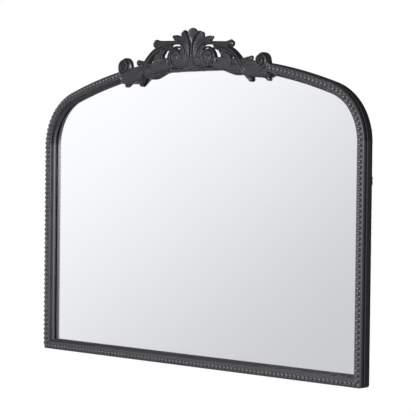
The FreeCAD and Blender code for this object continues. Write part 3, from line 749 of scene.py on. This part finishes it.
NEAR_LEAF = (
    (9.0, 66.0, 6, 35.5),
    (11.0, 82.0, 9, 36.5),
    (14.5, 96.0, 12, 37),
    (21.0, 108.0, 17, 36.5),
    (28.5, 117.0, 18, 34.5),
)
FAR_LEAF = (
    (16.0, 80.0, 8, 35.5),
    (24.0, 92.0, 14, 35.5),
    (34.0, 100.5, 20, 35.5),
    (45.0, 105.0, 20, 34.5),
    (56.0, 109.0, 15, 33.5),
    (63.0, 111.5, 7, 31.5),
)
SCROLL_STEM = (
    (77.0, 39.0, 6, 35.5),
    (77.0, 51.0, 5.5, 36.5),
    (75.5, 63.0, 5.5, 37.5),
    (71.0, 74.5, 5.5, 37.5),
    (63.0, 83.0, 5, 37.5),
    (52.5, 88.0, 5, 36.5),
    (42.0, 88.0, 4.5, 35.5),
    (33.0, 82.0, 4, 34.5),
    (28.5, 72.0, 4, 34.5),
)
BRANCH = (
    (44.0, 98.0, 8, 34),
    (56.0, 98.5, 9, 35),
    (70.0, 97.5, 10.5, 36),
    (84.0, 96.0, 13, 36),
    (98.0, 94.5, 15, 36),
    (110.0, 95.5, 15, 36),
    (119.0, 98.5, 14, 36),
)
BRANCH_KNOB = ((121.5, 95.0, 15.5, 34), (123.5, 94.5, 15.5, 33))
STRAP = (
    (68.0, 92.0, 8, 34),
    (80.0, 90.0, 12, 35),
    (94.0, 87.5, 15, 36),
    (107.0, 84.0, 17, 37),
    (119.0, 79.0, 18, 38),
    (130.0, 72.0, 18, 38.5),
    (139.5, 63.5, 18, 39.5),
    (148.0, 54.5, 18, 40),
    (155.0, 45.0, 18, 40),
    (160.5, 35.5, 17.5, 40),
    (165.0, 26.0, 17, 38),
    (169.5, 17.0, 16, 33),
    (174.0, 9.0, 15, 27),
)
SIDE_BUD = ((150, 50, 14, 37), (159, 53, 12, 35), (168, 55.5, 11, 33), (176, 56.5, 11, 32))
SIDE_KNOB = ((179.5, 56.5, 14, 32), (181, 56.5, 14, 31.5))
TALL_LEAVES = (
    (
        (103.0, 35.0, 9, 33),
        (106.0, 48.0, 8, 35),
        (105.5, 61.0, 8, 36),
        (100.0, 71.5, 8, 36),
        (91.0, 79.0, 7, 36),
        (80.0, 83.0, 6, 35),
        (69.0, 86.0, 6, 34),
    ),
    (
        (113.0, 34.0, 9, 33),
        (115.5, 47.0, 8, 35),
        (114.0, 60.0, 8, 36),
        (108.0, 71.0, 8, 36),
        (99.0, 79.0, 6, 36),
    ),
    (
        (120.0, 38.0, 8, 33),
        (122.5, 48.0, 8, 35),
        (121.0, 60.0, 8, 36),
        (115.0, 70.0, 7, 36),
    ),
)
HOOK = ((91.0, 60.0, 5, 35), (95.0, 64.5, 5.5, 36), (93.5, 71.0, 5.5, 36), (88.0, 77.0, 5, 36))
SPUR = ((74.0, 56.0, 6, 34), (81.0, 60.5, 6, 35), (89.0, 60.5, 7, 36), (98.0, 58.0, 8, 36))
SPUR_KNOB = ((95.5, 60.5, 10, 38), (96.5, 60.5, 10, 38))
BASE_LEAVES = (
    ((72, 40, 8, 33), (80, 44, 8, 35), (88, 45.5, 8, 35), (97, 43, 8, 33)),
    ((66, 36, 7, 33), (72, 44, 6, 35), (75, 52, 5, 35)),
    ((82, 36, 7, 33), (88, 39, 7, 35), (96, 36, 7, 33)),
)
CUP_RIM = ((120, 38, 6, 36), (128, 41.5, 6, 38), (137, 42.5, 6, 38), (146, 41, 6, 38))
CUP_BOWL = (
    (116.0, 33.0, 12, 32),
    (122.0, 27.5, 13, 32),
    (130.0, 25.0, 13, 32),
    (140.0, 24.5, 12.5, 31),
    (150.0, 25.0, 12.5, 31),
    (158.0, 27.0, 12, 31),
)
CUP_RIDGE = (
    (128.0, 38.0, 3.4, 35),
    (129.0, 31.0, 3.6, 35),
    (135.0, 26.5, 3.8, 34),
    (143.0, 25.5, 3.8, 34),
    (150.0, 28.5, 3.6, 34),
    (152.5, 34.0, 3.4, 34),
)
BASE_BAR = (
    (0.0, 37.0, 9, 30),
    (30.0, 37.0, 9, 30),
    (60.0, 36.5, 9, 30),
    (84.0, 36.0, 9, 30),
    (98.0, 33.5, 9, 30),
    (109.0, 29.5, 9, 30),
    (119.0, 26.0, 9, 30),
)
BODY = (
    (168.0, 32.0, 24, 38),
    (182.0, 29.5, 30, 38.5),
    (197.0, 28.0, 34, 39),
    (211.0, 27.0, 34, 39),
    (220.0, 26.0, 28, 38.5),
)
VOLUTE_DROP = (
    (233.5, 56.0, 8, 38),
    (237.0, 45.0, 9, 39.5),
    (236.5, 34.0, 10, 40),
    (233.0, 24.0, 11, 39.5),
    (228.0, 15.0, 11, 36),
)
BODY_TIP = ((214, 22, 20, 37), (220, 15, 16, 31), (225, 9.5, 12, 26), (227, 7, 11, 25))
VOLUTE_BALL = ((218, 48.5, 41, 39), (220, 48.5, 41, 39))
VOLUTE_CENTRE = (219, 48.5)
VOLUTE_TURNS = (-0.22, 1.6)
VOLUTE_RADII = (18.5, 2.0)
VOLUTE_WIDTHS = (8.0, 4.5)
VOLUTE_CRESTS = (42.5, 47.0)
VOLUTE_KNOTS = 24
# How tall each side is drawn above STRETCH_LOW, in full from STRETCH_RUN outward
CROWN_STRETCHES = {1: 0.95, -1: 1.09}
STRETCH_LOW = 20.0
STRETCH_RUN = 100.0

# Reliefs of a limb's front
RIDGE_FLOOR = 0.62
RIDGE_GAIN = 1.12
FLUTE_DEPTH = 0.16
FLUTES = 4
DISH_FLOOR = 0.35
DISH_RIM = 0.75


def crown_place(x, height):
    """A pattern place on the crown, in metres; its left side stands a little taller."""
    across = x / PATTERN_HALF_WIDTH * CROWN_HALF_WIDTH
    share = min(1, abs(x) / STRETCH_RUN) * (CROWN_STRETCHES[1 if x > 0 else -1] - 1)
    height += max(0, height - STRETCH_LOW) * share
    return CROWN_SHIFT + across, crown_foot + height / PATTERN_HEIGHT * CROWN_HEIGHT


def crown_floor(x, z):
    """The depth of the crown's back: on the moulding where there is one under it."""
    reach = math.hypot(x, z - top_centre_z) - line_top
    for (high, high_floor), (low, low_floor) in zip(FLOOR_LINE, FLOOR_LINE[1:]):
        if low <= reach <= high:
            return low_floor + (high_floor - low_floor) * (reach - low) / (high - low)
    return CROWN_BACK if reach > 0 else FLOOR_LINE[-1][1]


def catmull(a, b, c, d, t):
    """A point of a smooth run between b and c."""
    bend = 2 * a - 5 * b + 4 * c - d
    twist = 3 * b - a - 3 * c + d
    return 0.5 * (2 * b + (c - a) * t + bend * t**2 + twist * t**3)


def smooth_run(knots):
    """Closely spaced (x, height, width, crest) along the knots."""
    run = []
    for k in range(len(knots) - 1):
        near = [knots[max(k - 1, 0)], knots[k], knots[k + 1], knots[min(k + 2, len(knots) - 1)]]
        length = math.dist(knots[k][:2], knots[k + 1][:2])
        steps = max(2, round(length / PATTERN_STEP))
        for step in range(steps):
            run.append([catmull(*values, step / steps) for values in zip(*near)])
    run.append(list(map(float, knots[-1])))
    return run


def relief_round(u):
    return math.sqrt(max(0, 1 - u * u))


def relief_ridged(u):
    """Two ridges with a groove between them."""
    ridge = RIDGE_FLOOR + (1 - RIDGE_FLOOR) * math.sin(math.pi * abs(u)) ** 2
    return relief_round(u) * ridge * RIDGE_GAIN


def relief_fluted(u):
    """A leaf's run of flutes."""
    return (1 - u**4) ** 0.5 * (1 - FLUTE_DEPTH + FLUTE_DEPTH * math.cos(FLUTES * math.pi * u))


def relief_dished(u):
    """A raised rim round a hollow."""
    return (1 - u**6) ** 0.5 * min(1, DISH_FLOOR + (1 - DISH_FLOOR) * (u / DISH_RIM) ** 2)


def limb_end(station, way, side):
    """The round end of a limb, from its last full station outward."""
    x, height, width, crest = station
    cap = []
    for step in range(1, CAP_STEPS + 1):
        turn = CAP_LAST * step / CAP_STEPS
        out = side * math.sin(turn) * width / 2
        shrink = math.cos(turn)
        cap.append((x + way.x * out, height + way.y * out, way, width / 2 * shrink, crest, shrink))
    return cap


def limb_stations(knots):
    """Stations along a limb with its round ends: x, height, way, half width, crest, rise."""
    run = smooth_run(knots)
    ways = []
    for k in range(len(run)):
        ahead, behind = run[min(k + 1, len(run) - 1)], run[max(k - 1, 0)]
        ways.append(Vector((ahead[0] - behind[0], ahead[1] - behind[1])).normalized())
    body = [(x, height, way, width / 2, crest, 1) for (x, height, width, crest), way in zip(run, ways)]
    return limb_end(run[0], ways[0], -1)[::-1] + body + limb_end(run[-1], ways[-1], 1)


def add_limb(bm, knots, edge, relief, side=1):
    """A closed limb whose front follows the relief and whose back lies on the frame."""
    loops = []
    for x, height, way, half, crest, rise in limb_stations(knots):
        front, back = [], []
        for step in range(ACROSS + 1):
            u = 2 * step / ACROSS - 1
            place_x, place_z = crown_place(side * (x - way.y * half * u), height + way.x * half * u)
            floor = crown_floor(place_x, place_z)
            depth = (edge + (crest - edge) * relief(u) * rise) * PATTERN_UNIT - CROWN_SET_BACK
            front.append(spot(place_x, max(depth, floor + CROWN_SKIN), place_z))
            back.append(spot(place_x, floor, place_z))
        loops.append(front + back[::-1])
    bridge(bm, loops)


def volute_knots():
    """The volute's spiral, wound inward while it rises."""
    knots = []
    for step in range(VOLUTE_KNOTS + 1):
        turns, radius, width, crest = (
            ends[0] + (ends[1] - ends[0]) * step / VOLUTE_KNOTS
            for ends in (VOLUTE_TURNS, VOLUTE_RADII, VOLUTE_WIDTHS, VOLUTE_CRESTS)
        )
        turn = 2 * math.pi * turns
        x = VOLUTE_CENTRE[0] + radius * math.cos(turn)
        height = VOLUTE_CENTRE[1] + radius * math.sin(turn)
        knots.append((x, height, width, crest))
    return knots


# Limbs of one half, then those of the middle: knots, depth of the edge, relief
LIMBS = (
    *((knots, 32, relief_fluted) for knots in WEBS),
    (NEAR_LEAF, 26, relief_fluted),
    (FAR_LEAF, 26, relief_fluted),
    (CORD, 28, relief_round),
    (SECOND_CORD, 28, relief_round),
    (SCROLL_STEM, 27, relief_round),
    (BRANCH, 26, relief_ridged),
    (BRANCH_KNOB, 24, relief_round),
    (STRAP, 20, relief_ridged),
    (SIDE_BUD, 25, relief_ridged),
    (SIDE_KNOB, 23, relief_round),
    *((knots, 26, relief_round) for knots in TALL_LEAVES),
    (HOOK, 26, relief_round),
    (SPUR, 26, relief_round),
    (SPUR_KNOB, 28, relief_round),
    *((knots, 26, relief_round) for knots in BASE_LEAVES),
    (CUP_RIM, 28, relief_round),
    (CUP_BOWL, 20, relief_round),
    (CUP_RIDGE, 24, relief_round),
    (BASE_BAR, 19, relief_round),
    (BODY, 33, relief_fluted),
    (VOLUTE_DROP, 26, relief_round),
    (BODY_TIP, 20, relief_round),
    (VOLUTE_BALL, 32, relief_round),
    (volute_knots(), 30, relief_round),
)
MIDDLE_LIMBS = (
    (MIDDLE_LEAF, 28, relief_dished),
    (MIDDLE_BUD, 30, relief_round),
)


def add_crown():
    """All limbs run together into one casting by a voxel remesh, then smoothed."""
    bm = bmesh.new()
    for knots, edge, relief in LIMBS:
        for _, side in SIDES:
            add_limb(bm, knots, edge, relief, side)
    for knots, edge, relief in MIDDLE_LIMBS:
        add_limb(bm, knots, edge, relief)
    obj = mesh_object("crown_casting", bm)
    remesh = obj.modifiers.new("remesh", "REMESH")
    remesh.mode = "VOXEL"
    remesh.voxel_size = CROWN_VOXEL * 1
    smooth = obj.modifiers.new("smooth", "SMOOTH")
    smooth.factor = CROWN_SMOOTH
    smooth.iterations = CROWN_SMOOTH_STEPS
    apply_modifiers(obj)
    obj.data.materials.clear()
    obj.data.materials.append(crown_black)
    obj.data.shade_smooth()
    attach(obj, "frame")
    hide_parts("crown")


add_crown()


# Silvering on the back of the glass


def outline(reach):
    """The arched outline of the frame at a reach, as (x, z) points."""
    right = [(line_half + reach, EDGE_REACH - reach)]
    for step in range(SHOULDER_STEPS + 1):
        turn = shoulder_turn * step / SHOULDER_STEPS
        radius = line_shoulder + reach
        right.append((shoulder_x + radius * math.cos(turn), SIDE_HEIGHT + radius * math.sin(turn)))
    for step in range(1, SHOULDER_STEPS):
        turn = shoulder_turn + (math.pi / 2 - shoulder_turn) * step / SHOULDER_STEPS
        radius = line_top + reach
        right.append((radius * math.cos(turn), top_centre_z + radius * math.sin(turn)))
    return right + [(-x, z) for x, z in reversed(right)]


def add_silvering():
    """A thin metal coat just in front of the glass's back face."""
    edge = outline(-RABBET_INSET - GLASS_CLEARANCE - SILVER_MARGIN)
    back = RABBET_DEPTH - GLASS_THICKNESS + SILVER_LIFT
    bm = bmesh.new()
    bridge(bm, [[spot(x, depth, z) for x, z in edge] for depth in (back, back + SILVER_THICKNESS)])
    piece("silvering", bm, silver)


add_silvering()


# Materials of the CAD nodes that stay

NODE_MATERIALS = {
    "mirror_glass": clear_glass,
    "backing_board": board_brown,
    "setting_blocks": cork,
    "crown_screws": screw_metal,
    "joint_dowels": beech,
    "mitre_splines": beech,
    "corner_brace_right": zinc,
    "corner_brace_left": zinc,
    "corner_brace_screws": screw_metal,
    "joint_plates": zinc,
    "joint_plate_screws": screw_metal,
    "board_clips": zinc,
    "board_clip_screws": screw_metal,
    "hanger_strap_right": zinc,
    "hanger_strap_left": zinc,
    "hanger_screws": screw_metal,
    "d_ring_right": zinc,
    "d_ring_left": zinc,
    "wall_bumpers": rubber,
}


def paint_nodes():
    """Gives each remaining CAD node its material."""
    for name, material in NODE_MATERIALS.items():
        node = frame["nodes"][name]
        for child in [node, *node.children_recursive]:
            if child.type == "MESH":
                for slot in child.material_slots:
                    slot.material = material


paint_nodes()


# World


def room_level(nodes, links, way):
    """How bright the room is each way: full in front, less behind, on the right and above."""
    axes = nodes.new("ShaderNodeSeparateXYZ")
    links.new(way, axes.inputs[0])
    behind, beside, above = (
        to_range(nodes, links, axes.outputs[axis], 1, level, span, "SMOOTHSTEP")
        for axis, span, level in ROOM_FALLS
    )
    sides = combined(nodes, links, "MULTIPLY", behind, beside)
    return combined(nodes, links, "MULTIPLY", sides, above)


def sideways_gradient(nodes, links, way):
    """The soft gradient of the studio that shows in the mirror."""
    along = nodes.new("ShaderNodeVectorMath")
    along.operation = "DOT_PRODUCT"
    along.inputs[1].default_value = GRADIENT_WAY
    links.new(way, along.inputs[0])
    share = to_range(nodes, links, along.outputs["Value"], 0, 1, GRADIENT_SPAN, "SMOOTHSTEP")
    return ramp(nodes, links, share, GRADIENT_DARK, GRADIENT_LIGHT, (0, 1))


def mixed_shaders(nodes, links, share, first, second):
    node = nodes.new("ShaderNodeMixShader")
    links.new(share, node.inputs[0])
    links.new(first.outputs[0], node.inputs[1])
    links.new(second.outputs[0], node.inputs[2])
    return node


def make_world():
    """White to the camera, the gradient in the mirror, and a plain level on everything else."""
    world = bpy.data.worlds.new("studio")
    bpy.context.scene.world = world
    world.use_nodes = True
    nodes, links = world.node_tree.nodes, world.node_tree.links
    nodes.clear()
    way = nodes.new("ShaderNodeTexCoord").outputs["Generated"]
    mirrored, plain, white = (nodes.new("ShaderNodeBackground") for _ in range(3))
    links.new(sideways_gradient(nodes, links, way), mirrored.inputs["Color"])
    plain.inputs["Color"].default_value = PLAIN
    white.inputs["Color"].default_value = WHITE
    level = room_level(nodes, links, way)
    links.new(level, mirrored.inputs["Strength"])
    links.new(level, plain.inputs["Strength"])
    paths = nodes.new("ShaderNodeLightPath").outputs
    seen = combined(nodes, links, "MAXIMUM", paths["Is Glossy Ray"], paths["Is Transmission Ray"])
    lit = mixed_shaders(nodes, links, seen, plain, mirrored)
    shown = mixed_shaders(nodes, links, paths["Is Camera Ray"], lit, white)
    output = nodes.new("ShaderNodeOutputWorld")
    links.new(shown.outputs[0], output.inputs["Surface"])


make_world()


# Floor


def add_floor():
    bm = bmesh.new()
    bmesh.ops.create_circle(bm, cap_ends=True, radius=FLOOR_RADIUS, segments=FLOOR_SIDES)
    floor = mesh_object("floor", bm)
    floor.location.z = FLOOR_LEVEL
    floor.data.materials.append(pale_floor)


add_floor()


# Lamps


def add_lamp(name, place, size, power):
    data = bpy.data.lights.new(name, "AREA")
    data.shape = "DISK"
    data.size = size
    data.energy = power
    lamp = bpy.data.objects.new(name, data)
    lamp.location = place
    lamp.rotation_euler = (LAMP_TARGET - Vector(place)).to_track_quat("-Z", "Y").to_euler()
    bpy.context.scene.collection.objects.link(lamp)


for lamp in LAMPS:
    add_lamp(*lamp)


# Camera


def add_camera():
    """The photo's camera, as fitted to the frame's edges and the crown."""
    forward = Vector(
        (
            -math.sin(CAMERA_YAW) * math.cos(CAMERA_PITCH),
            math.cos(CAMERA_YAW) * math.cos(CAMERA_PITCH),
            -math.sin(CAMERA_PITCH),
        )
    )
    right = Vector((math.cos(CAMERA_YAW), math.sin(CAMERA_YAW), 0))
    up = right.cross(forward)
    rolled_right = right * math.cos(CAMERA_ROLL) + up * math.sin(CAMERA_ROLL)
    rolled_up = up * math.cos(CAMERA_ROLL) - right * math.sin(CAMERA_ROLL)
    data = bpy.data.cameras.new("camera")
    data.lens = CAMERA_LENS
    data.sensor_width = CAMERA_SENSOR
    data.shift_y = CAMERA_SHIFT
    camera = bpy.data.objects.new("camera", data)
    place = CAMERA_TARGET - forward * CAMERA_DISTANCE
    turned = Matrix((rolled_right, rolled_up, -forward)).transposed()
    camera.matrix_world = Matrix.Translation(place) @ turned.to_4x4()
    bpy.context.scene.collection.objects.link(camera)
    bpy.context.scene.camera = camera


add_camera()
bpy.context.scene.view_settings.view_transform = "Standard"
